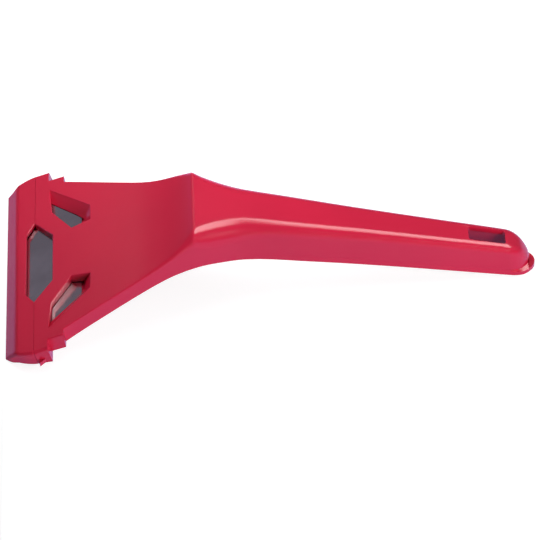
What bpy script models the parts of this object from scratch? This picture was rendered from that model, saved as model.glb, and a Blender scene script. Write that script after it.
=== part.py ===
"""Window scraper: a moulded handle and head in one piece, a steel blade and a clip-on blade guard.

Metres, +Z up. +X runs from the blade to the tail, and the plane Y = 0 is the plane of symmetry.
The scraper stands as on a table, on the guard's nose and on the end of its handle. A place
"from the nose" is measured along X from the guard's foremost edge.
"""
import math

import bmesh
import bpy
from mathutils import Euler, Matrix, Vector

# Whole object
OVERALL_LENGTH = 0.2285
FIT_GAP = 0.0003

# Plan outline
NOSE_WIDTH = 0.0984
NOSE_FLARE = 1.7
LUG_WIDTH = 0.1088
LUG_END_FROM_NOSE = 0.0182
SHOULDER_WIDTH = 0.0976
SHOULDER_END_FROM_NOSE = 0.0250
FAN_START_WIDTH = 0.0907
FAN_END_FROM_NOSE = 0.0630
FAN_END_WIDTH = 0.0567
WING_FROM_NOSE = 0.0750
WING_WIDTH = 0.0484
CREST_FROM_NOSE = 0.0856
CREST_WIDTH = 0.0404
NECK_FROM_NOSE = 0.1030
NECK_WIDTH = 0.0283
GRIP_FROM_NOSE = 0.1300
GRIP_WIDTH = 0.0222
TAIL_WIDTH = 0.0134
TAIL_ROUND_LENGTH = 0.0100

# Side view, upper side
NOSE_BLUNTNESS = 0.0005
NOSE_TOP_FROM_NOSE = 0.0045
LEAN_END_FROM_NOSE = 0.0320
FACE_HEIGHT_AT_NOSE = 0.0041
FACE_PITCH = math.radians(20.9)
FACE_BEND_FROM_NOSE = 0.0736
FACE_BEND_RADIUS = 0.070
FACE_END_PITCH = math.radians(52.0)
CREST_HEIGHT = 0.0420
CREST_RADIUS = 0.0016
BACK_BEND_FROM_NOSE = 0.1040
BACK_BEND_HEIGHT = 0.0398
BACK_BEND_RADIUS = 0.200
TAIL_DEPTH = 0.0132
TAIL_TOP_ROUND_LENGTH = 0.0110
TAIL_TOP_DROP = 0.0098

# Side view, underside
NOSE_LAND = 0.0020
FRONT_BOTTOM_PITCH = math.radians(11.0)
HEAD_BOTTOM_AT_LUG_END = 0.0034
HEAD_BOTTOM_PITCH = math.radians(20.5)
UNDERSIDE_BEND_FROM_NOSE = 0.0788
UNDERSIDE_BEND_RADIUS = 0.040
TAIL_LAND = 0.0050

# Edges and draft
SIDE_DRAFT = math.radians(2.5)
LUG_EDGE_RADIUS = 0.0016
SHOULDER_EDGE_RADIUS = 0.0008
FAN_EDGE_RADIUS = 0.0014
WING_EDGE_RADIUS = 0.0030
CREST_EDGE_RADIUS = 0.0082
GRIP_EDGE_FROM_NOSE = 0.1190
GRIP_EDGE_RADIUS = 0.0058
TAIL_EDGE_RADIUS = 0.0034
RIM_HEIGHT = 0.0018
RIM_PROUD = 0.0004
RIM_END_PROUD = 0.0025
RIM_FRONT_SHARE = 0.1
RIM_SWELLING = 0.0002
RIM_SWELLING_EDGE = 0.95
RIM_SWELLING_START = 0.9
RIM_SWELLING_END = 0.3
RIM_START_FROM_NOSE = 0.1050
RIM_FADE_LENGTH = 0.0250

# Hollow under the head and the handle
SIDE_WALL = 0.0022
TOP_WALL = 0.0024
END_WALL = 0.0034
HOLLOW_START_FROM_NOSE = 0.0385
INNER_CORNER_RADIUS = 0.0015
RIB_THICKNESS = 0.0016
RIB_SETBACK = 0.0030
NECK_RIB_FROM_NOSE = 0.1060
FAN_RIB_SPREAD = math.radians(21.0)

# Seam between guard and head, and blade seat
SEAM_FROM_NOSE = 0.0123
SEAM_GAP = 0.00015
BLADE_WEDGE = math.radians(5.1)
BLADE_UNDER_FACE = 0.0027
BLADE_WIDTH = 0.1000
BLADE_REAR_WIDTH = 0.0780
BLADE_DEPTH = 0.0247
BLADE_FULL_WIDTH_DEPTH = 0.0042
BLADE_REACH = 0.0041
BLADE_THICKNESS = 0.0006
BLADE_GRIND = 0.0029
BLADE_EDGE_THICKNESS = 0.00008
BLADE_FRONT_SPACE = 0.0008
BLADE_REAR_SPACE = 0.0011

# Middle window: a notch in the head's front edge and one in the guard's rear edge
NOTCH_MOUTH_WIDTH = 0.0476
NOTCH_ROOT_WIDTH = 0.0276
NOTCH_ROOT_FROM_NOSE = 0.0202
NOTCH_LEAN = 0.0001
GUARD_NOTCH_ROOT_WIDTH = 0.0360
GUARD_NOTCH_ROOT_FROM_NOSE = 0.0085
GUARD_NOTCH_LEAN = 0.0005

# Side windows: places from the nose and from the plane of symmetry
WINDOW_FRONT_OUTER = (0.0188, 0.0420)
WINDOW_REAR_OUTER = (0.0364, 0.0252)
WINDOW_REAR_INNER = (0.0366, 0.0166)
WINDOW_MIDDLE_INNER = (0.0285, 0.0148)
WINDOW_FRONT_INNER = (0.0199, 0.0279)
WINDOW_OUTER_LEAN = 0.0046
WINDOW_REAR_LEAN = 0.0028
WINDOW_INNER_LEAN = 0.0002
WINDOW_FRONT_LEAN = 0.0004
WINDOW_LIP_RADIUS = 0.0005

# Openings in the lower jaw, where the upper jaw has no window
JAW_OPENING_LENGTH = 0.0100
JAW_OPENING_WIDTH = 0.0200
JAW_OPENING_FROM_SEAM = 0.0095
JAW_SIDE_OPENING_LENGTH = 0.0042
JAW_SIDE_OPENING_WIDTH = 0.0180
JAW_SIDE_OPENING_FROM_SEAM = 0.0018
JAW_SIDE_OPENING_FROM_MIDDLE = 0.0370

# Recesses that thin the guard's underside
GUARD_RECESS_COUNT = 5
GUARD_RECESS_PITCH = 0.0185
GUARD_RECESS_WIDTH = 0.0165
GUARD_RECESS_START_FROM_NOSE = 0.0045
GUARD_RECESS_END_FROM_NOSE = 0.0118
GUARD_FLOOR = 0.0016

# Nubs that hold the guard, on the ends of the head
NUB_FROM_SEAM = 0.0021
NUB_LENGTH = 0.0033
NUB_RISE = 0.0023
NUB_DEPTH = 0.0012
NUB_HEIGHT = 0.0022
NUB_RAMP = 0.0006
NUB_FROM_UNDERSIDE = 0.0002

# Hang slot
HANG_SLOT_LENGTH = 0.0160
HANG_SLOT_WIDTH = 0.0080
HANG_SLOT_FROM_TAIL = 0.0131
HANG_SLOT_CORNER = 0.0012

# Colours, as linear red, green and blue
RED = (0.50, 0.018, 0.050)
PLASTIC_ROUGHNESS = 0.38
STEEL = (0.10, 0.105, 0.115)
STEEL_ROUGHNESS = 0.45

# Facets
SHARP_ANGLE = math.radians(32.0)
ARC_STEPS = 9
EDGE_STEPS = 7
LIP_STEPS = 3
MOST_ROUNDED_SHARE = 0.8
TAIL_STEPS = 9
RIM_END_STEPS = 3
LEAST_STATION = 0.0003
CREST_STATION = 0.0024
CREST_STATIONS_BEFORE = 6
CREST_STATIONS_BEHIND = 9
MOST_STATION = 0.0060
STEP_LENGTH = 0.00004
FLAT_STEP = 0.00002
CUT_MARGIN = 0.004
SEARCH_STEPS = 40


def remove_start_objects():
    for thing in list(bpy.data.objects):
        bpy.data.objects.remove(thing, do_unlink=True)


def make_material(name, color, roughness, metallic):
    material = bpy.data.materials.new(name)
    material.use_nodes = True
    shader = material.node_tree.nodes["Principled BSDF"]
    shader.inputs["Base Color"].default_value = (*color, 1.0)
    shader.inputs["Roughness"].default_value = roughness
    shader.inputs["Metallic"].default_value = metallic
    material.diffuse_color = (*color, 1.0)
    return material


def add_empty(name, parent, location, pitch):
    """An empty whose own +X points back and up by the pitch."""
    empty = bpy.data.objects.new(name, None)
    bpy.context.scene.collection.objects.link(empty)
    empty.parent = parent
    empty.location = location
    empty.rotation_euler = (0.0, -pitch, 0.0)
    return empty


def add_object(name, mesh, parent, material=None):
    thing = bpy.data.objects.new(name, mesh)
    bpy.context.scene.collection.objects.link(thing)
    thing.parent = parent
    if material is not None:
        mesh.materials.append(material)
        mesh.shade_smooth()
        mesh.set_sharp_from_angle(angle=SHARP_ANGLE)
    return thing


def combine(target, tool, operation="DIFFERENCE"):
    tool.hide_render = True
    tool.display_type = "WIRE"
    step = target.modifiers.new(tool.name, "BOOLEAN")
    step.operation = operation
    step.solver = "EXACT"
    step.object = tool


def mesh_from_rings(name, rings):
    """A closed skin through rings of equally many points, with a cap on each end."""
    build = bmesh.new()
    loops = [[build.verts.new(point) for point in ring] for ring in rings]
    for before, after in zip(loops, loops[1:]):
        for index in range(len(before)):
            following = (index + 1) % len(before)
            build.faces.new((before[index], before[following], after[following], after[index]))
    build.faces.new(loops[0])
    build.faces.new(loops[-1])
    bmesh.ops.recalc_face_normals(build, faces=build.faces)
    mesh = bpy.data.meshes.new(name)
    build.to_mesh(mesh)
    build.free()
    return mesh


def box_mesh(name, low, high):
    corners = ((low[0], low[1]), (high[0], low[1]), (high[0], high[1]), (low[0], high[1]))
    return mesh_from_rings(name, [[(x, y, z) for x, y in corners] for z in (low[2], high[2])])


def join_meshes(name, meshes):
    """One mesh of several separate closed skins."""
    build = bmesh.new()
    for mesh in meshes:
        build.from_mesh(mesh)
        bpy.data.meshes.remove(mesh)
    joined = bpy.data.meshes.new(name)
    build.to_mesh(joined)
    build.free()
    return joined


def bent_line(x, corner, pitch_before, pitch_after, radius):
    """Height at x of two straight lines that meet at a corner rounded to a radius."""
    turn = pitch_after - pitch_before
    side = math.copysign(1.0, turn)
    tangent = radius * math.tan(abs(turn) / 2.0)
    start = corner[0] - tangent * math.cos(pitch_before)
    end = corner[0] + tangent * math.cos(pitch_after)
    if x <= start:
        return corner[1] + math.tan(pitch_before) * (x - corner[0])
    if x >= end:
        return corner[1] + math.tan(pitch_after) * (x - corner[0])
    centre_x = start - side * radius * math.sin(pitch_before)
    start_height = corner[1] - tangent * math.sin(pitch_before)
    centre_height = start_height + side * radius * math.cos(pitch_before)
    return centre_height - side * math.sqrt(radius ** 2 - (x - centre_x) ** 2)


def smooth_line(x, points):
    """Height at x of a smooth curve through points, straight before the first and after the last."""
    slopes = [(b[1] - a[1]) / (b[0] - a[0]) for a, b in zip(points, points[1:])]
    if x <= points[0][0]:
        return points[0][1] + slopes[0] * (x - points[0][0])
    if x >= points[-1][0]:
        return points[-1][1] + slopes[-1] * (x - points[-1][0])
    inner = [(a + b) / 2.0 for a, b in zip(slopes, slopes[1:])]
    tangents = [slopes[0]] + inner + [slopes[-1]]
    index = max(i for i in range(len(slopes)) if points[i][0] <= x)
    (x0, y0), (x1, y1) = points[index], points[index + 1]
    span = x1 - x0
    t = (x - x0) / span
    start_part = (1.0 + 2.0 * t) * (1.0 - t) ** 2 * y0 + t * (1.0 - t) ** 2 * span * tangents[index]
    end_part = t ** 2 * (3.0 - 2.0 * t) * y1 - t ** 2 * (1.0 - t) * span * tangents[index + 1]
    return start_part + end_part


def face_height(x):
    """The head's face: flat over the blade, then sweeping up to the crest."""
    corner_height = FACE_HEIGHT_AT_NOSE + math.tan(FACE_PITCH) * FACE_BEND_FROM_NOSE
    corner = (FACE_BEND_FROM_NOSE, corner_height)
    return bent_line(x, corner, FACE_PITCH, FACE_END_PITCH, FACE_BEND_RADIUS)


def body_end():
    """The body stops short of the rim at the tail."""
    return OVERALL_LENGTH - RIM_END_PROUD


def back_height(x):
    """The handle's upper side, which would run on forward over the face."""
    corner = (BACK_BEND_FROM_NOSE, BACK_BEND_HEIGHT)
    pitch_before = math.atan2(BACK_BEND_HEIGHT - CREST_HEIGHT, BACK_BEND_FROM_NOSE - CREST_FROM_NOSE)
    pitch_after = math.atan2(TAIL_DEPTH - BACK_BEND_HEIGHT, OVERALL_LENGTH - BACK_BEND_FROM_NOSE)
    height = bent_line(x, corner, pitch_before, pitch_after, BACK_BEND_RADIUS)
    past = (x - (body_end() - TAIL_TOP_ROUND_LENGTH)) / TAIL_TOP_ROUND_LENGTH
    if past > 0.0:
        height -= TAIL_TOP_DROP * (1.0 - math.sqrt(max(0.0, 1.0 - past ** 2)))
    return height


def nose_wall_height(x):
    """The guard's leaning front wall."""
    top = face_height(NOSE_TOP_FROM_NOSE)
    return NOSE_BLUNTNESS + (top - NOSE_BLUNTNESS) * x / NOSE_TOP_FROM_NOSE


def crest_place():
    """Where the face would reach the handle's upper side, were the crest not rounded."""
    low = FACE_BEND_FROM_NOSE
    high = NECK_FROM_NOSE
    for _ in range(SEARCH_STEPS):
        middle = (low + high) / 2.0
        if face_height(middle) < back_height(middle):
            low = middle
        else:
            high = middle
    return low


def crest_pitches():
    """The pitch of the face just before the crest and of the handle's upper side just behind it."""
    crest = crest_place()
    rise = face_height(crest) - face_height(crest - STEP_LENGTH)
    drop = back_height(crest + STEP_LENGTH) - back_height(crest)
    return math.atan2(rise, STEP_LENGTH), math.atan2(drop, STEP_LENGTH)


def upper_height(x):
    crest = crest_place()
    corner = (crest, face_height(crest))
    if abs(x - crest) < CREST_RADIUS:
        crown = bent_line(x, corner, *crest_pitches(), CREST_RADIUS)
        return min(crown, face_height(x), back_height(x))
    return min(nose_wall_height(x), face_height(x), back_height(x))


def head_bottom_corner():
    rise = math.tan(HEAD_BOTTOM_PITCH) * (UNDERSIDE_BEND_FROM_NOSE - LUG_END_FROM_NOSE)
    return UNDERSIDE_BEND_FROM_NOSE, HEAD_BOTTOM_AT_LUG_END + rise


def handle_bottom_pitch():
    """The handle comes down to the table at its tail."""
    corner = head_bottom_corner()
    return math.atan2(-corner[1], OVERALL_LENGTH - TAIL_LAND - corner[0])


def front_bottom_height(x):
    """The underside of the guard and of the thick front of the head."""
    return math.tan(FRONT_BOTTOM_PITCH) * max(0.0, x - NOSE_LAND)


def lower_height(x):
    corner = head_bottom_corner()
    return max(0.0, bent_line(x, corner, HEAD_BOTTOM_PITCH, handle_bottom_pitch(), UNDERSIDE_BEND_RADIUS))


def rounded_off(x, end, length):
    """How much of the width is left where the plan outline rounds off towards its end."""
    past = min(1.0, max(0.0, (x - (end - length)) / length))
    return math.sqrt(1.0 - past ** 2)


def plan_half_width(x):
    """Half the width at the height of the upper edge, before the tail rounds off."""
    if x <= SEAM_FROM_NOSE:
        narrowed = (1.0 - x / SEAM_FROM_NOSE) ** NOSE_FLARE
        return (LUG_WIDTH - (LUG_WIDTH - NOSE_WIDTH) * narrowed) / 2.0
    if x <= LUG_END_FROM_NOSE:
        return LUG_WIDTH / 2.0
    if x <= SHOULDER_END_FROM_NOSE:
        return SHOULDER_WIDTH / 2.0
    points = (
        (SHOULDER_END_FROM_NOSE, FAN_START_WIDTH / 2.0),
        (FAN_END_FROM_NOSE, FAN_END_WIDTH / 2.0),
        (WING_FROM_NOSE, WING_WIDTH / 2.0),
        (CREST_FROM_NOSE, CREST_WIDTH / 2.0),
        (NECK_FROM_NOSE, NECK_WIDTH / 2.0),
        (GRIP_FROM_NOSE, GRIP_WIDTH / 2.0),
        (OVERALL_LENGTH, TAIL_WIDTH / 2.0),
    )
    return smooth_line(x, points)


def side_width(x, height):
    """Half the width of the side walls at a height: they lean in towards the top."""
    return plan_half_width(x) + math.tan(SIDE_DRAFT) * (upper_height(x) - height)


def edge_radius(x):
    if x <= LUG_END_FROM_NOSE:
        return LUG_EDGE_RADIUS
    if x <= SHOULDER_END_FROM_NOSE:
        return SHOULDER_EDGE_RADIUS
    points = (
        (SHOULDER_END_FROM_NOSE, SHOULDER_EDGE_RADIUS),
        (FAN_END_FROM_NOSE, FAN_EDGE_RADIUS),
        (WING_FROM_NOSE, WING_EDGE_RADIUS),
        (CREST_FROM_NOSE, CREST_EDGE_RADIUS),
        (GRIP_EDGE_FROM_NOSE, GRIP_EDGE_RADIUS),
        (OVERALL_LENGTH, TAIL_EDGE_RADIUS),
    )
    return smooth_line(x, points)


def edge_path(width_at, top, radius):
    """Points up over the rounded edge between a side wall and the surface above it."""
    centre_height = top - radius
    centre_across = width_at(centre_height) - radius
    angles = [math.pi / 2.0 * step / EDGE_STEPS for step in range(EDGE_STEPS + 1)]
    return [(centre_across + radius * math.cos(a), centre_height + radius * math.sin(a)) for a in angles]


def ring_from_path(x, path, lean=0.0):
    """A section from its right half, leaning forward from its foot to the place x at its top."""
    left = [(-across, height) for across, height in reversed(path)]
    high = max(height for _, height in path)
    return [(x + math.tan(lean) * (high - height), across, height) for across, height in path + left]


def rim_proud(x):
    """The rim at the foot of the handle's walls grows out of them behind the neck."""
    grown = (x - RIM_START_FROM_NOSE) / RIM_FADE_LENGTH
    return RIM_PROUD * min(1.0, max(0.0, grown))


def section_lean(x):
    """The front sections are square to the blade, and those of the handle stand upright."""
    left = (LEAN_END_FROM_NOSE - x) / (LEAN_END_FROM_NOSE - LUG_END_FROM_NOSE)
    return blade_pitch() * min(1.0, max(0.0, left))


def outer_ring(x):
    high = upper_height(x)
    lean = section_lean(x) if x >= NOSE_TOP_FROM_NOSE else 0.0
    bottom_at = front_bottom_height if x <= LUG_END_FROM_NOSE else lower_height
    low = bottom_at(x + math.tan(lean) * (high - bottom_at(x)))
    shrink = rounded_off(x, body_end(), TAIL_ROUND_LENGTH)
    rim_shrink = rounded_off(x, OVERALL_LENGTH, TAIL_ROUND_LENGTH)

    def width_at(height):
        return side_width(x, height) * shrink

    rim_top = low + RIM_HEIGHT * (1.0 if x > RIM_START_FROM_NOSE else RIM_FRONT_SHARE)
    room = min(width_at(high), high - rim_top)
    radius = min(edge_radius(x), MOST_ROUNDED_SHARE * room)
    rim_half = side_width(x, low) * rim_shrink + rim_proud(x)
    rim = [(rim_half, low), (rim_half - math.tan(SIDE_DRAFT) * (rim_top - low), rim_top)]
    foot = rim_top + 2.0 * rim_proud(x) + FLAT_STEP
    path = rim + [(width_at(foot), foot)] + edge_path(width_at, high, radius)
    return ring_from_path(x, path, lean)


def rim_end_ring(x):
    """Past the body's end only the rim is left, with a low swelling on it."""
    rim_half = side_width(x, 0.0) * rounded_off(x, OVERALL_LENGTH, TAIL_ROUND_LENGTH) + RIM_PROUD
    top = RIM_HEIGHT + RIM_SWELLING
    path = [(rim_half, 0.0), (rim_half, RIM_HEIGHT), (RIM_SWELLING_EDGE * rim_half, top)]
    for step in range(EDGE_STEPS + 1):
        done = step / EDGE_STEPS
        share = RIM_SWELLING_START + (RIM_SWELLING_END - RIM_SWELLING_START) * done
        path.append((share * rim_half, top + FLAT_STEP * step))
    return ring_from_path(x, path)


def curve_stations(corner_x, pitch_before, pitch_after, radius):
    """Places along X that follow the rounded corner of a bent line."""
    turn = pitch_after - pitch_before
    start = corner_x - radius * math.tan(abs(turn) / 2.0) * math.cos(pitch_before)
    centre_x = start - math.copysign(radius, turn) * math.sin(pitch_before)
    angles = [pitch_before + turn * step / ARC_STEPS for step in range(ARC_STEPS + 1)]
    return [centre_x + math.copysign(radius, turn) * math.sin(angle) for angle in angles]


def spaced(places):
    """Sorted places without those that crowd the one before, and with wide gaps filled."""
    kept = [min(places)]
    for place in sorted(places):
        gap = place - kept[-1]
        if gap < LEAST_STATION:
            continue
        pieces = math.ceil(gap / MOST_STATION)
        start = kept[-1]
        kept += [start + gap * (piece + 1) / pieces for piece in range(pieces)]
    return kept


def body_stations():
    crest = crest_place()
    places = [SHOULDER_END_FROM_NOSE + STEP_LENGTH]
    places += curve_stations(crest, *crest_pitches(), CREST_RADIUS)
    places += curve_stations(FACE_BEND_FROM_NOSE, FACE_PITCH, FACE_END_PITCH, FACE_BEND_RADIUS)
    places += curve_stations(UNDERSIDE_BEND_FROM_NOSE, HEAD_BOTTOM_PITCH, handle_bottom_pitch(),
                             UNDERSIDE_BEND_RADIUS)
    steps = range(-CREST_STATIONS_BEFORE, CREST_STATIONS_BEHIND + 1)
    places += [crest + CREST_STATION * step for step in steps]
    places += [OVERALL_LENGTH - TAIL_LAND]
    start = body_end() - TAIL_ROUND_LENGTH
    for step in range(TAIL_STEPS):
        places.append(start + TAIL_ROUND_LENGTH * math.sin(math.pi / 2.0 * step / TAIL_STEPS))
    return spaced([place for place in places if place < body_end() - STEP_LENGTH])


def head_and_handle_mesh():
    """The outer skin from ahead of the seam to the tail."""
    front = [SEAM_FROM_NOSE - CUT_MARGIN, SEAM_FROM_NOSE, LUG_END_FROM_NOSE]
    shoulder = [LUG_END_FROM_NOSE + STEP_LENGTH, SHOULDER_END_FROM_NOSE]
    rings = [outer_ring(x) for x in front + shoulder + body_stations()]
    end = body_end()
    rings.append(outer_ring(end - STEP_LENGTH))
    rings.append(rim_end_ring(end))
    for step in range(1, RIM_END_STEPS + 1):
        rings.append(rim_end_ring(end + RIM_END_PROUD * math.sin(math.pi / 2.0 * step / RIM_END_STEPS)))
    return mesh_from_rings("handle", rings)


def blade_pitch():
    return FACE_PITCH - BLADE_WEDGE


def seat_place():
    """The middle of the blade's thickness at the seam, which is square to the blade."""
    x = SEAM_FROM_NOSE + BLADE_UNDER_FACE * math.sin(blade_pitch())
    z = face_height(SEAM_FROM_NOSE) - BLADE_UNDER_FACE * math.cos(blade_pitch())
    return Vector((x, 0.0, z))


def blade_height(x):
    place = seat_place()
    return place.z + math.tan(blade_pitch()) * (x - place.x)


def blade_rings(grow, front, rear, half_thickness_at):
    """Sections of the blade, or of the room for it, across the blade's own plane."""
    places = [front, -BLADE_REACH + BLADE_GRIND, -BLADE_REACH + BLADE_FULL_WIDTH_DEPTH, rear]
    back = BLADE_DEPTH - BLADE_REACH
    turn = -BLADE_REACH + BLADE_FULL_WIDTH_DEPTH
    slope = (BLADE_REAR_WIDTH - BLADE_WIDTH) / 2.0 / (back - turn)
    rings = []
    for place in places:
        half = BLADE_WIDTH / 2.0 + slope * max(0.0, place - turn) + grow
        up = half_thickness_at(place)
        rings.append([(place, half, -up), (place, half, up), (place, -half, up), (place, -half, -up)])
    return rings


def blade_mesh():
    def half_thickness(place):
        if place > -BLADE_REACH:
            return BLADE_THICKNESS / 2.0
        return BLADE_EDGE_THICKNESS / 2.0

    rings = blade_rings(0.0, -BLADE_REACH, BLADE_DEPTH - BLADE_REACH, half_thickness)
    return mesh_from_rings("blade", rings)


def blade_room_mesh(name):
    """The slot that both the head and the guard leave for the blade."""
    front = -BLADE_REACH - BLADE_FRONT_SPACE
    rear = BLADE_DEPTH - BLADE_REACH + BLADE_REAR_SPACE
    half_height = BLADE_THICKNESS / 2.0 + FIT_GAP
    return mesh_from_rings(name, blade_rings(FIT_GAP, front, rear, lambda place: half_height))


def inset_polygon(corners, insets):
    """Corners moved in so that each edge, from its corner to the next, moves by its own inset."""
    count = len(corners)
    middle = Vector((sum(c[0] for c in corners) / count, sum(c[1] for c in corners) / count))
    lines = []
    for index, inset in enumerate(insets):
        start = Vector(corners[index])
        along = (Vector(corners[(index + 1) % count]) - start).normalized()
        inward = Vector((-along.y, along.x))
        if inward.dot(middle - start) < 0.0:
            inward = -inward
        lines.append((start + inward * inset, along))
    moved = []
    for index in range(count):
        (here, along), (there, other) = lines[index - 1], lines[index]
        reach = (there - here).cross(other) / along.cross(other)
        moved.append(tuple(here + along * reach))
    return moved


def jaw_cutter_mesh(name, outline, leans):
    """Cuts the upper jaw away down to the middle of the blade's slot, with a rounded lip on top."""
    wide = inset_polygon(outline, [-WINDOW_LIP_RADIUS] * len(outline))
    rings = [[(x, y, face_height(x) + CUT_MARGIN) for x, y in wide]]
    for step in range(LIP_STEPS + 1):
        angle = math.pi / 2.0 * step / LIP_STEPS
        spread = WINDOW_LIP_RADIUS * (1.0 - math.sin(angle))
        sunk = WINDOW_LIP_RADIUS * (1.0 - math.cos(angle)) - STEP_LENGTH
        lip = inset_polygon(outline, [-spread] * len(outline))
        rings.append([(x, y, face_height(x) - sunk) for x, y in lip])
    rings.append([(x, y, blade_height(x)) for x, y in inset_polygon(outline, leans)])
    return mesh_from_rings(name, rings)


def window_mesh(side):
    corners = [WINDOW_FRONT_OUTER, WINDOW_REAR_OUTER, WINDOW_REAR_INNER, WINDOW_MIDDLE_INNER,
               WINDOW_FRONT_INNER]
    outline = [(x, side * y) for x, y in corners]
    leans = [WINDOW_OUTER_LEAN, WINDOW_REAR_LEAN, WINDOW_INNER_LEAN, WINDOW_INNER_LEAN, WINDOW_FRONT_LEAN]
    return jaw_cutter_mesh("window", outline, leans)


def notch_outline(root_from_nose, root_width, open_end):
    """Half of the middle window, from beyond the seam to its root."""
    flare = (NOTCH_MOUTH_WIDTH - root_width) / 2.0 / abs(root_from_nose - SEAM_FROM_NOSE)
    mouth = NOTCH_MOUTH_WIDTH / 2.0 + flare * abs(open_end - SEAM_FROM_NOSE)
    root = root_width / 2.0
    return [(open_end, mouth), (root_from_nose, root), (root_from_nose, -root), (open_end, -mouth)]


def notch_mesh():
    """The head's half of the middle window, open towards the guard."""
    outline = notch_outline(NOTCH_ROOT_FROM_NOSE, NOTCH_ROOT_WIDTH, SEAM_FROM_NOSE - CUT_MARGIN)
    return jaw_cutter_mesh("notch", outline, [NOTCH_LEAN, NOTCH_LEAN, NOTCH_LEAN, 0.0])


def guard_notch_mesh():
    """The guard's half of the middle window, open towards the head."""
    outline = notch_outline(GUARD_NOTCH_ROOT_FROM_NOSE, GUARD_NOTCH_ROOT_WIDTH, SEAM_FROM_NOSE + CUT_MARGIN)
    return jaw_cutter_mesh("guard_notch", outline, [0.0, GUARD_NOTCH_LEAN, 0.0, 0.0])


def face_stretch(x):
    """How much longer the face is than its run along X."""
    return math.hypot(STEP_LENGTH, face_height(x + STEP_LENGTH) - face_height(x)) / STEP_LENGTH


def hollow_ring(x):
    low = lower_height(x) - CUT_MARGIN
    roof = min(face_height(x) - TOP_WALL * face_stretch(x), back_height(x) - TOP_WALL)
    shrink = rounded_off(x, body_end(), TAIL_ROUND_LENGTH)

    def width_at(height):
        return side_width(x, height) * shrink - SIDE_WALL

    radius = max(INNER_CORNER_RADIUS, edge_radius(x) - SIDE_WALL)
    path = [(width_at(low), low)] + edge_path(width_at, roof, radius)
    return ring_from_path(x, path)


def hollow_mesh():
    end = body_end() - END_WALL
    places = [x for x in body_stations() if HOLLOW_START_FROM_NOSE < x < end - LEAST_STATION]
    stations = [HOLLOW_START_FROM_NOSE] + places + [end]
    return mesh_from_rings("hollow", [hollow_ring(x) for x in stations])


def rib_meshes():
    """Ribs that the hollow leaves standing: one across the neck and three fanned out in the head."""
    half = RIB_THICKNESS / 2.0
    x = NECK_RIB_FROM_NOSE
    low = lower_height(x) + RIB_SETBACK
    meshes = [box_mesh("neck_rib", (x - half, -NECK_WIDTH, low), (x + half, NECK_WIDTH, CREST_HEIGHT))]
    length = CREST_FROM_NOSE - HOLLOW_START_FROM_NOSE
    for direction in (-1, 0, 1):
        mesh = box_mesh("fan_rib", (-length, -half, 0.0), (CUT_MARGIN, half, CREST_HEIGHT))
        place = Vector((CREST_FROM_NOSE, 0.0, lower_height(HOLLOW_START_FROM_NOSE) + RIB_SETBACK))
        turn = Euler((0.0, -HEAD_BOTTOM_PITCH, direction * FAN_RIB_SPREAD))
        mesh.transform(Matrix.Translation(place) @ turn.to_matrix().to_4x4())
        meshes.append(mesh)
    return meshes


def head_trim_mesh():
    """Everything ahead of the seam."""
    high = (SEAM_GAP / 2.0, LUG_WIDTH, LUG_WIDTH)
    return box_mesh("head_trim", (-LUG_WIDTH, -LUG_WIDTH, -LUG_WIDTH), high)


def guard_trim_mesh():
    """Everything behind the seam."""
    low = (-SEAM_GAP / 2.0, -LUG_WIDTH, -LUG_WIDTH)
    return box_mesh("guard_trim", low, (LUG_WIDTH, LUG_WIDTH, LUG_WIDTH))


def jaw_opening_mesh():
    """Openings in the lower jaw, from the middle of the blade's slot down, square to the blade."""
    half = JAW_OPENING_WIDTH / 2.0
    start = JAW_OPENING_FROM_SEAM
    bottom = -LUG_WIDTH / 4.0
    high = (start + JAW_OPENING_LENGTH, half, 0.0)
    meshes = [box_mesh("opening", (start, -half, bottom), high)]
    half = JAW_SIDE_OPENING_WIDTH / 2.0
    start = JAW_SIDE_OPENING_FROM_SEAM
    for side in (-1.0, 1.0):
        middle = side * JAW_SIDE_OPENING_FROM_MIDDLE
        high = (start + JAW_SIDE_OPENING_LENGTH, middle + half, 0.0)
        meshes.append(box_mesh("opening", (start, middle - half, bottom), high))
    return join_meshes("jaw_openings", meshes)


def rounded_rectangle(length, width, radius):
    points = []
    for turn in range(4):
        centre_x = (length / 2.0 - radius) * (1 if turn in (0, 3) else -1)
        centre_y = (width / 2.0 - radius) * (1 if turn in (0, 1) else -1)
        for step in range(EDGE_STEPS + 1):
            angle = math.pi / 2.0 * (turn + step / EDGE_STEPS)
            points.append((centre_x + radius * math.cos(angle), centre_y + radius * math.sin(angle)))
    return points


def hang_slot_mesh():
    outline = rounded_rectangle(HANG_SLOT_LENGTH, HANG_SLOT_WIDTH, HANG_SLOT_CORNER)
    middle = OVERALL_LENGTH - HANG_SLOT_FROM_TAIL - HANG_SLOT_LENGTH / 2.0
    rings = [[(middle + x, y, z) for x, y in outline] for z in (-TAIL_DEPTH, CREST_HEIGHT)]
    return mesh_from_rings("hang_slot", rings)


def nub_mesh(side):
    """A small catch at the foot of the head's end, steep in front and ramped behind."""
    root = side * (LUG_WIDTH / 2.0 - NUB_DEPTH)
    wall = side * LUG_WIDTH / 2.0
    tip = side * (LUG_WIDTH / 2.0 + NUB_RISE)
    front = SEAM_FROM_NOSE + NUB_FROM_SEAM
    rear = front + NUB_LENGTH
    outline = [(front, root), (front, wall), (front + NUB_RAMP, tip), (rear, wall), (rear, root)]
    rings = []
    for lift in (NUB_FROM_UNDERSIDE, NUB_FROM_UNDERSIDE + NUB_HEIGHT):
        rings.append([(x, y, front_bottom_height(x) + lift) for x, y in outline])
    return mesh_from_rings("nub", rings)


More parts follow.
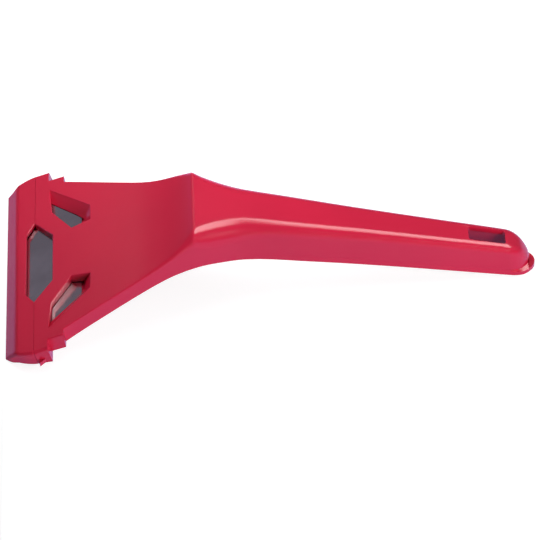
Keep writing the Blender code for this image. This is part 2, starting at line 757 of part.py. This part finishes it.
def guard_mesh():
    """The guard's outer skin from its nose past the seam."""
    places = [STEP_LENGTH, NOSE_LAND, (NOSE_LAND + NOSE_TOP_FROM_NOSE) / 2.0]
    span = SEAM_FROM_NOSE - NOSE_TOP_FROM_NOSE
    places += [NOSE_TOP_FROM_NOSE + span * step / EDGE_STEPS for step in range(EDGE_STEPS + 1)]
    places.append(SEAM_FROM_NOSE + CUT_MARGIN)
    return mesh_from_rings("blade_guard", [outer_ring(x) for x in places])


def guard_recess_mesh():
    """Recesses from below that leave ribs between them and a floor under the blade."""
    meshes = []
    half = GUARD_RECESS_WIDTH / 2.0
    front = GUARD_RECESS_START_FROM_NOSE
    rear = GUARD_RECESS_END_FROM_NOSE
    floor = BLADE_THICKNESS / 2.0 + FIT_GAP + GUARD_FLOOR
    for index in range(GUARD_RECESS_COUNT):
        middle = (index - (GUARD_RECESS_COUNT - 1) / 2.0) * GUARD_RECESS_PITCH
        low = middle - half
        high = middle + half
        corners = ((front, low), (rear, low), (rear, high), (front, high))
        bottom = [(x, y, -CUT_MARGIN) for x, y in corners]
        roof = [(x, y, blade_height(x) - floor) for x, y in corners]
        meshes.append(mesh_from_rings("recess", [bottom, roof]))
    return join_meshes("guard_recesses", meshes)


def build_handle(scraper, seat, material):
    handle = add_object("handle", head_and_handle_mesh(), scraper, material)
    hollow = add_object("hollow_cutter", hollow_mesh(), scraper)
    for mesh in rib_meshes():
        combine(hollow, add_object("rib_cutter", mesh, scraper))
    combine(handle, hollow)
    combine(handle, add_object("head_trim_cutter", head_trim_mesh(), seat))
    combine(handle, add_object("head_blade_room_cutter", blade_room_mesh("head_blade_room"), seat))
    combine(handle, add_object("notch_cutter", notch_mesh(), scraper))
    for side in (-1.0, 1.0):
        combine(handle, add_object("window_cutter", window_mesh(side), scraper))
    combine(handle, add_object("jaw_opening_cutter", jaw_opening_mesh(), seat))
    combine(handle, add_object("hang_slot_cutter", hang_slot_mesh(), scraper))
    for side in (-1.0, 1.0):
        combine(handle, add_object("nub_tool", nub_mesh(side), scraper), "UNION")


def build_guard(scraper, seat, material):
    """The guard's mesh is turned into the seat's frame, because it slides off along the blade."""
    mesh = guard_mesh()
    turn = Euler((0.0, -blade_pitch(), 0.0)).to_matrix().to_4x4()
    seat_matrix = Matrix.Translation(seat_place()) @ turn
    mesh.transform(seat_matrix.inverted())
    guard = add_object("blade_guard", mesh, seat, material)
    combine(guard, add_object("guard_trim_cutter", guard_trim_mesh(), seat))
    combine(guard, add_object("guard_blade_room_cutter", blade_room_mesh("guard_blade_room"), seat))
    combine(guard, add_object("guard_notch_cutter", guard_notch_mesh(), scraper))
    combine(guard, add_object("guard_recess_cutter", guard_recess_mesh(), scraper))


def build():
    remove_start_objects()
    plastic = make_material("red_plastic", RED, PLASTIC_ROUGHNESS, 0.0)
    steel = make_material("blade_steel", STEEL, STEEL_ROUGHNESS, 1.0)
    guard_plastic = make_material("red_guard_plastic", RED, PLASTIC_ROUGHNESS, 0.0)

    scraper = add_empty("scraper", None, (-OVERALL_LENGTH / 2.0, 0.0, 0.0), 0.0)
    seat = add_empty("blade_seat", scraper, seat_place(), blade_pitch())
    build_handle(scraper, seat, plastic)
    add_object("blade", blade_mesh(), seat, steel)
    build_guard(scraper, seat, guard_plastic)


build()
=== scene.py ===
"""Window scraper: its finish, lighting and camera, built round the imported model.

Metres, +Z up. +X runs from the blade to the tail, and the plane Y = 0 is the plane of symmetry.
"""
import math

import bpy
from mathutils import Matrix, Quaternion, Vector


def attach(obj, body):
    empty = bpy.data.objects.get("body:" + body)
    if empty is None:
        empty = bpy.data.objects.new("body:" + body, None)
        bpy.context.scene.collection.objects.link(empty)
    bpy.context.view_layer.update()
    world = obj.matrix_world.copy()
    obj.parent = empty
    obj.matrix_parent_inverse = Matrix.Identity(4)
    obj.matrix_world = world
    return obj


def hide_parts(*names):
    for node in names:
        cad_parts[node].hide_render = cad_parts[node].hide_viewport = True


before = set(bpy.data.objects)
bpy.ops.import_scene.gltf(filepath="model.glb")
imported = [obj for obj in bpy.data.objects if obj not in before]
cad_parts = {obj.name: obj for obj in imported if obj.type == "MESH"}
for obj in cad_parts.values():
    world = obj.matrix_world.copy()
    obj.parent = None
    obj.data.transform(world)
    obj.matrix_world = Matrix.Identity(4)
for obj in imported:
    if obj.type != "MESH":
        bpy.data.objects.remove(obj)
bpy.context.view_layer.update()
bpy.ops.object.select_all(action="DESELECT")

# Blade
# A strip of hardened carbon steel, 100 mm wide and 0.6 mm thick, stamped, ground on its front
# edge and left slightly oiled. It is held by the fit of its slot in the head.
STEEL_COLOUR = "#d2cdd0"
STEEL_SHADE = "#c4bfc2"
GRIND_LINE_SPACING = 0.0006
GRIND_LINE_STRETCH = 0.04
OIL_PATCHES_PER_METRE = 90.0


def linear(colour):
    """Linear red, green, blue and alpha of an sRGB hex colour."""
    parts = [int(colour[index:index + 2], 16) / 255.0 for index in (1, 3, 5)]
    turned = [part / 12.92 if part <= 0.04045 else ((part + 0.055) / 1.055) ** 2.4 for part in parts]
    return (*turned, 1.0)


def add_node(tree, kind, settings=None, values=None, links=None):
    """A node with its settings, its sockets' own values, and its links from other sockets."""
    node = tree.nodes.new(kind)
    for name, value in (settings or {}).items():
        setattr(node, name, value)
    for socket, value in (values or {}).items():
        node.inputs[socket].default_value = value
    for socket, source in (links or {}).items():
        tree.links.new(source, node.inputs[socket])
    return node


def ground_steel():
    """Ground carbon steel: grey metal whose fine lines run straight back from the edge.

    The lines are drawn 0.6 mm apart, coarser than real grinding, so that they show. The oil film
    gives the colour its faint patches, about 11 mm wide.
    """
    material = bpy.data.materials.new("ground_carbon_steel")
    material.use_nodes = True
    tree = material.node_tree
    shader = tree.nodes["Principled BSDF"]
    shader.inputs["Metallic"].default_value = 1.0
    place = add_node(tree, "ShaderNodeTexCoord")
    stretch = add_node(tree, "ShaderNodeMapping",
                       values={"Scale": (GRIND_LINE_STRETCH, 1.0, GRIND_LINE_STRETCH)},
                       links={"Vector": place.outputs["Object"]})
    lines = add_node(tree, "ShaderNodeTexNoise",
                     values={"Scale": 1.0 / GRIND_LINE_SPACING, "Detail": 3.0},
                     links={"Vector": stretch.outputs["Vector"]})
    oil = add_node(tree, "ShaderNodeTexNoise", values={"Scale": OIL_PATCHES_PER_METRE, "Detail": 2.0},
                   links={"Vector": place.outputs["Object"]})
    tint = add_node(tree, "ShaderNodeValToRGB", links={"Fac": oil.outputs["Fac"]})
    tint.color_ramp.elements[0].color = linear(STEEL_SHADE)
    tint.color_ramp.elements[1].color = linear(STEEL_COLOUR)
    tint.color_ramp.elements[0].position = 0.35
    tint.color_ramp.elements[1].position = 0.65
    rough = add_node(tree, "ShaderNodeMapRange", values={"To Min": 0.16, "To Max": 0.26},
                     links={"Value": lines.outputs["Fac"]})
    bump = add_node(tree, "ShaderNodeBump", values={"Strength": 0.15, "Distance": 0.00002},
                    links={"Height": lines.outputs["Fac"]})
    tree.links.new(tint.outputs["Color"], shader.inputs["Base Color"])
    tree.links.new(rough.outputs["Result"], shader.inputs["Roughness"])
    tree.links.new(bump.outputs["Normal"], shader.inputs["Normal"])
    return material


def finish_with(piece, material):
    """The piece in this one material."""
    piece.data.materials.clear()
    piece.data.materials.append(material)


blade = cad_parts["blade"]
finish_with(blade, ground_steel())

# Handle and head
# One injection moulding in red polypropylene: the handle, the fan-shaped head with its three
# windows, and the slot for the blade between the head's two jaws.
RED = "#cc1d3e"
RED_SHADE = "#c31b3b"
MOULD_GRAIN = 0.00035
FLOW_MARKS_PER_METRE = 18.0
SMOOTH_ANGLE = math.radians(30.0)
SHARP_ANGLE = math.radians(40.0)
EDGE_SOFTNESS = 0.00025
FLAT_FACE_WEIGHT = 80


def moulded_polypropylene():
    """Moulded polypropylene: clean red with a soft gloss and the faint grain of the mould's steel.

    The grain is 0.35 mm, coarser than a polished mould's, so that it shows. The flow of the
    plastic gives the red its faint patches, about 55 mm wide.
    """
    material = bpy.data.materials.new("moulded_polypropylene")
    material.use_nodes = True
    tree = material.node_tree
    shader = tree.nodes["Principled BSDF"]
    shader.inputs["IOR"].default_value = 1.49
    place = add_node(tree, "ShaderNodeTexCoord")
    flow = add_node(tree, "ShaderNodeTexNoise", values={"Scale": FLOW_MARKS_PER_METRE, "Detail": 2.0},
                    links={"Vector": place.outputs["Object"]})
    tint = add_node(tree, "ShaderNodeValToRGB", links={"Fac": flow.outputs["Fac"]})
    tint.color_ramp.elements[0].color = linear(RED_SHADE)
    tint.color_ramp.elements[1].color = linear(RED)
    tint.color_ramp.elements[0].position = 0.3
    tint.color_ramp.elements[1].position = 0.7
    grain = add_node(tree, "ShaderNodeTexNoise", values={"Scale": 1.0 / MOULD_GRAIN, "Detail": 2.0},
                     links={"Vector": place.outputs["Object"]})
    rough = add_node(tree, "ShaderNodeMapRange", values={"To Min": 0.16, "To Max": 0.22},
                     links={"Value": grain.outputs["Fac"]})
    bump = add_node(tree, "ShaderNodeBump", values={"Strength": 0.12, "Distance": 0.00004},
                    links={"Height": grain.outputs["Fac"]})
    tree.links.new(tint.outputs["Color"], shader.inputs["Base Color"])
    tree.links.new(rough.outputs["Result"], shader.inputs["Roughness"])
    tree.links.new(bump.outputs["Normal"], shader.inputs["Normal"])
    return material


def merged_copy(node, name):
    """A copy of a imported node, its triangles joined up, and the only selected object."""
    bpy.ops.object.select_all(action="DESELECT")
    piece = bpy.data.objects.new(name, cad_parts[node].data.copy())
    bpy.context.scene.collection.objects.link(piece)
    bpy.context.view_layer.objects.active = piece
    piece.select_set(True)
    bpy.ops.object.mode_set(mode="EDIT")
    bpy.ops.mesh.select_all(action="SELECT")
    bpy.ops.mesh.remove_doubles(threshold=0.000002)
    bpy.ops.mesh.select_all(action="DESELECT")
    bpy.ops.object.mode_set(mode="OBJECT")
    return piece


def shade_as_moulded(piece):
    """Soft edges, and smooth shading led by the large faces so that flat ones look flat."""
    softening = piece.modifiers.new("softening", "BEVEL")
    softening.width = EDGE_SOFTNESS
    softening.segments = 2
    softening.limit_method = "ANGLE"
    softening.angle_limit = SHARP_ANGLE
    bpy.ops.object.modifier_apply(modifier=softening.name)
    bpy.ops.object.shade_smooth_by_angle(angle=SMOOTH_ANGLE)
    weighting = piece.modifiers.new("weighting", "WEIGHTED_NORMAL")
    weighting.keep_sharp = True
    weighting.weight = FLAT_FACE_WEIGHT
    bpy.ops.object.modifier_apply(modifier=weighting.name)


red_plastic = moulded_polypropylene()
handle = merged_copy("handle", "moulded_handle")
shade_as_moulded(handle)
finish_with(handle, red_plastic)
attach(handle, "handle")
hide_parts("handle")

# Blade guard
# A second moulding in the same red plastic, which clips over the blade's edge and closes the
# front of the head. Its rear edge is notched at the middle window, where it shows the blade.
guard = merged_copy("blade_guard", "moulded_guard")
shade_as_moulded(guard)
finish_with(guard, red_plastic)
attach(guard, "blade_guard")
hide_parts("blade_guard")

# Floor
# A plain white sweep that keeps the scraper's shadow, white to the camera and faintly blue in
# reflections. It falls away in front of the nose, so the blade and its guard slide out over it.
FLOOR_SIZE = 6.0
FLOOR_GAP = 0.0003
FLOOR_EDGE = -0.1145
FLOOR_DROP = 0.03
FLOOR_SLOPE_LENGTH = 0.045
WHITE = "#ffffff"
PAPER = "#a8a8aa"
COOL_REFLECTION = "#a4a8ff"
GLOW_STRENGTH = 0.82
floor_middle = (FLOOR_EDGE + FLOOR_SIZE / 2.0, 0.0, -FLOOR_GAP)
bpy.ops.mesh.primitive_plane_add(size=FLOOR_SIZE, location=floor_middle)
floor = bpy.context.object
floor.name = "studio_floor"
bpy.ops.object.mode_set(mode="EDIT")
bpy.ops.mesh.select_all(action="DESELECT")
bpy.ops.object.mode_set(mode="OBJECT")
for vertex in floor.data.vertices:
    vertex.select = vertex.co.x < 0.0
bpy.ops.object.mode_set(mode="EDIT")
for step in ((-FLOOR_SLOPE_LENGTH, 0.0, -FLOOR_DROP), (-FLOOR_SIZE, 0.0, 0.0)):
    bpy.ops.mesh.extrude_edges_move(TRANSFORM_OT_translate={"value": step})
bpy.ops.object.mode_set(mode="OBJECT")
paper = bpy.data.materials.new("white_paper_sweep")
paper.use_nodes = True
paper_tree = paper.node_tree
paper_shader = paper_tree.nodes["Principled BSDF"]
paper_shader.inputs["Base Color"].default_value = linear(PAPER)
paper_shader.inputs["Roughness"].default_value = 0.9
paper_shader.inputs["Specular IOR Level"].default_value = 0.0
path = add_node(paper_tree, "ShaderNodeLightPath")
seen = add_node(paper_tree, "ShaderNodeMath", {"operation": "MAXIMUM"},
                links={0: path.outputs["Is Camera Ray"], 1: path.outputs["Is Glossy Ray"]})
noticed = add_node(paper_tree, "ShaderNodeMath", {"operation": "MAXIMUM"},
                   links={0: seen.outputs["Value"], 1: path.outputs["Is Transmission Ray"]})
glow = add_node(paper_tree, "ShaderNodeMath", {"operation": "MULTIPLY"}, {1: GLOW_STRENGTH},
                {0: noticed.outputs["Value"]})
paper_cast = add_node(paper_tree, "ShaderNodeValToRGB", links={"Fac": path.outputs["Is Camera Ray"]})
paper_cast.color_ramp.elements[0].color = linear(COOL_REFLECTION)
paper_cast.color_ramp.elements[1].color = linear(WHITE)
paper_tree.links.new(paper_cast.outputs["Color"], paper_shader.inputs["Emission Color"])
paper_tree.links.new(glow.outputs["Value"], paper_shader.inputs["Emission Strength"])
finish_with(floor, paper)

# Light
# Softboxes to the front and the right, two small ones close over the head, and a dim room that
# only reflections show. A wide lamp high on the right draws the line of light along the handle.
ROOM_REFLECTION = "#75717c"
world = bpy.data.worlds.new("studio_room")
bpy.context.scene.world = world
world.use_nodes = True
room = world.node_tree
background = room.nodes["Background"]
ray = add_node(room, "ShaderNodeLightPath")
look = add_node(room, "ShaderNodeMix", {"data_type": "RGBA"},
                {6: linear(WHITE), 7: linear(ROOM_REFLECTION)}, {0: ray.outputs["Is Glossy Ray"]})
shown = add_node(room, "ShaderNodeMath", {"operation": "MAXIMUM"},
                 links={0: ray.outputs["Is Glossy Ray"], 1: ray.outputs["Is Camera Ray"]})
level = add_node(room, "ShaderNodeMath", {"operation": "MAXIMUM"},
                 links={0: shown.outputs["Value"], 1: ray.outputs["Is Transmission Ray"]})
room.links.new(look.outputs[2], background.inputs["Color"])
room.links.new(level.outputs["Value"], background.inputs["Strength"])


def softbox(name, place, size, power):
    """A white rectangular lamp that faces the scraper and leaves no highlight of its own."""
    lamp = bpy.data.lights.new(name, "AREA")
    lamp.shape = "RECTANGLE"
    lamp.size, lamp.size_y = size
    lamp.energy = power
    holder = bpy.data.objects.new(name, lamp)
    bpy.context.scene.collection.objects.link(holder)
    holder.location = place
    holder.rotation_euler = (-Vector(place)).to_track_quat("-Z", "Y").to_euler()
    holder.visible_glossy = False
    return holder


softbox("front_softbox", (0.10, -0.70, 0.14), (0.5, 0.2), 2.3)
softbox("right_front_softbox", (0.45, -0.45, 0.35), (0.3, 0.3), 2.4)
softbox("right_softbox", (0.65, 0.0, 0.40), (0.3, 0.3), 1.1)
softbox("rear_softbox", (-0.14, 0.22, 0.25), (0.2, 0.2), 0.8)
softbox("head_softbox", (-0.02, 0.06, 0.24), (0.2, 0.2), 0.25)
gloss_lamp = softbox("high_right_lamp", (0.74, 0.25, 1.15), (0.9, 0.65), 13.5)
gloss_lamp.visible_glossy = True
gloss_lamp.visible_diffuse = False

# Camera
# A long lens from in front and above, as the photograph was taken, 45 degrees down on the head.
CAMERA_AZIMUTH = math.radians(1.11)
CAMERA_ELEVATION = math.radians(44.76)
CAMERA_ROLL = math.radians(-0.83)
CAMERA_DISTANCE = 1.924
SENSOR_WIDTH = 36.0
FOCAL_SHARE = 4443.0 / 540.0
AIM_OFFSET = (-0.0004, 0.0001)
sight = Vector((math.sin(CAMERA_AZIMUTH) * math.cos(CAMERA_ELEVATION),
                math.cos(CAMERA_AZIMUTH) * math.cos(CAMERA_ELEVATION),
                -math.sin(CAMERA_ELEVATION)))
lens = bpy.data.cameras.new("studio_camera")
lens.sensor_width = SENSOR_WIDTH
lens.lens = SENSOR_WIDTH * FOCAL_SHARE
camera = bpy.data.objects.new("studio_camera", lens)
bpy.context.scene.collection.objects.link(camera)
level_turn = sight.to_track_quat("-Z", "Y")
turn = Quaternion(-sight, CAMERA_ROLL) @ level_turn
right = turn @ Vector((1.0, 0.0, 0.0))
up = turn @ Vector((0.0, 1.0, 0.0))
camera.rotation_euler = turn.to_euler()
camera.location = -CAMERA_DISTANCE * sight + right * AIM_OFFSET[0] + up * AIM_OFFSET[1]
bpy.context.scene.camera = camera
bpy.context.scene.view_settings.view_transform = "Standard"

bpy.context.view_layer.update()
